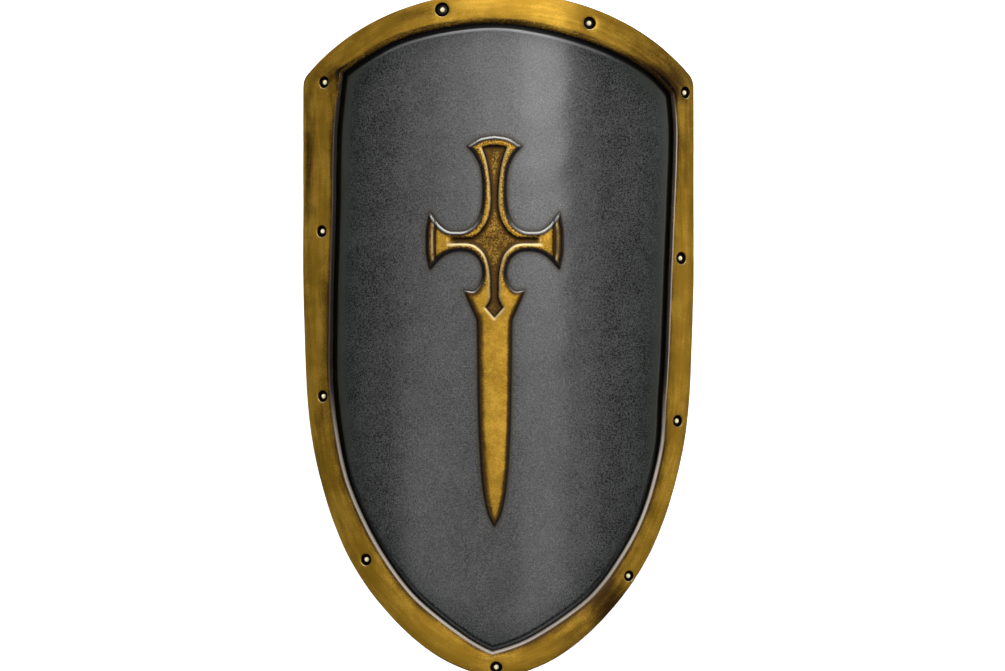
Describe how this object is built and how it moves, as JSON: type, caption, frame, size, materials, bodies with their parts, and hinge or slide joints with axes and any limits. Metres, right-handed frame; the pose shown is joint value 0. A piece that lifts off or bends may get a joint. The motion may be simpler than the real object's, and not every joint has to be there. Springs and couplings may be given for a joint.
{
  "type": "kite shield",
  "caption": "Curved kite shield with a raised rim set with studs, a cross in relief on its face and an arm strap and a hand strap behind.",
  "frame": {"origin": "on the ground, under the middle of the shield's box, with the shield lying face up", "axes": "+Z out of the shield's face, +Y to its top, +X to its right as seen from the front"},
  "size_m": [0.5294, 0.9, 0.1103],
  "materials": {
    "gunmetal_coat": "flexible skin painted speckled gunmetal grey in front, satin; plain black behind and in the grooves",
    "gold_coat": "flexible skin brushed with streaky metallic gold over black, satin, darker in the hollows",
    "pale_gold": "moulded head painted pale metallic gold, glossy",
    "black_leather": "plain black strap leather, satin",
    "dark_steel": "darkened domed rivet heads"
  },
  "bodies": {
    "root": {"board": "gunmetal_coat", "rim": "gold_coat", "emblem": "gold_coat", "arm_strap": "black_leather", "hand_strap": "black_leather", "stud_01": "pale_gold", "stud_02": "pale_gold", "stud_03": "pale_gold", "stud_04": "pale_gold", "stud_05": "pale_gold", "stud_06": "pale_gold", "stud_07": "pale_gold", "stud_08": "pale_gold", "stud_09": "pale_gold", "stud_10": "pale_gold", "stud_11": "pale_gold", "arm_strap_rivet_1": "dark_steel", "arm_strap_rivet_2": "dark_steel", "hand_strap_rivet_1": "dark_steel", "hand_strap_rivet_2": "dark_steel"}
  },
  "joints": []
}
